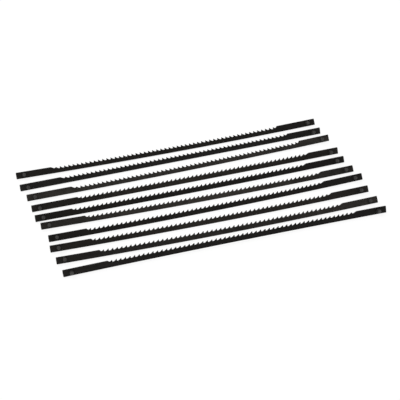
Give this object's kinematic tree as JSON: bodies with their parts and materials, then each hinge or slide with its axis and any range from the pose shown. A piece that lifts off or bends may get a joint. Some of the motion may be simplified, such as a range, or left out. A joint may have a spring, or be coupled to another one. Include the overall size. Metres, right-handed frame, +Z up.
{
  "type": "pin-end saw blade set",
  "caption": "Set of loose pin-end saw blades laid side by side: thin toothed strips with blank ends, each with a round cross pin for a saw's pin holders.",
  "frame": {"origin": "middle of the set's footprint, on the surface it lies on", "axes": "+X along the blades, +Y towards the toothed edges, +Z up; every blade rests on its back edge and on its pins' rear ends and leans back by 27 to 43 degrees from upright"},
  "size_m": [0.139, 0.0624, 0.0033],
  "materials": {
    "black_steel": "blackened (heat-oxidised and oiled) spring steel, satin, with lengthwise rolling and grinding marks",
    "pin_steel": "blackened steel wire pin, rubbed lighter on its cut ends"
  },
  "bodies": {
    "blade_01_set": {"blade_01": "black_steel", "pin_01_a": "pin_steel", "pin_01_b": "pin_steel"},
    "blade_02_set": {"blade_02": "black_steel", "pin_02_a": "pin_steel", "pin_02_b": "pin_steel"},
    "blade_03_set": {"blade_03": "black_steel", "pin_03_a": "pin_steel", "pin_03_b": "pin_steel"},
    "blade_04_set": {"blade_04": "black_steel", "pin_04_a": "pin_steel", "pin_04_b": "pin_steel"},
    "blade_05_set": {"blade_05": "black_steel", "pin_05_a": "pin_steel", "pin_05_b": "pin_steel"},
    "blade_06_set": {"blade_06": "black_steel", "pin_06_a": "pin_steel", "pin_06_b": "pin_steel"},
    "blade_07_set": {"blade_07": "black_steel", "pin_07_a": "pin_steel", "pin_07_b": "pin_steel"},
    "blade_08_set": {"blade_08": "black_steel", "pin_08_a": "pin_steel", "pin_08_b": "pin_steel"},
    "blade_09_set": {"blade_09": "black_steel", "pin_09_a": "pin_steel", "pin_09_b": "pin_steel"},
    "blade_10_set": {"blade_10": "black_steel", "pin_10_a": "pin_steel", "pin_10_b": "pin_steel"}
  },
  "joints": [
    {"name": "blade_01_lift", "type": "slide", "parent": "blade_06_set", "child": "blade_01_set", "axis": [0, 0, 1], "range_m": [0, 0.03]},
    {"name": "blade_02_lift", "type": "slide", "parent": "blade_06_set", "child": "blade_02_set", "axis": [0, 0, 1], "range_m": [0, 0.03]},
    {"name": "blade_03_lift", "type": "slide", "parent": "blade_06_set", "child": "blade_03_set", "axis": [0, 0, 1], "range_m": [0, 0.03]},
    {"name": "blade_04_lift", "type": "slide", "parent": "blade_06_set", "child": "blade_04_set", "axis": [0, 0, 1], "range_m": [0, 0.03]},
    {"name": "blade_05_lift", "type": "slide", "parent": "blade_06_set", "child": "blade_05_set", "axis": [0, 0, 1], "range_m": [0, 0.03]},
    {"name": "blade_07_lift", "type": "slide", "parent": "blade_06_set", "child": "blade_07_set", "axis": [0, 0, 1], "range_m": [0, 0.03]},
    {"name": "blade_08_lift", "type": "slide", "parent": "blade_06_set", "child": "blade_08_set", "axis": [0, 0, 1], "range_m": [0, 0.03]},
    {"name": "blade_09_lift", "type": "slide", "parent": "blade_06_set", "child": "blade_09_set", "axis": [0, 0, 1], "range_m": [0, 0.03]},
    {"name": "blade_10_lift", "type": "slide", "parent": "blade_06_set", "child": "blade_10_set", "axis": [0, 0, 1], "range_m": [0, 0.03]}
  ]
}
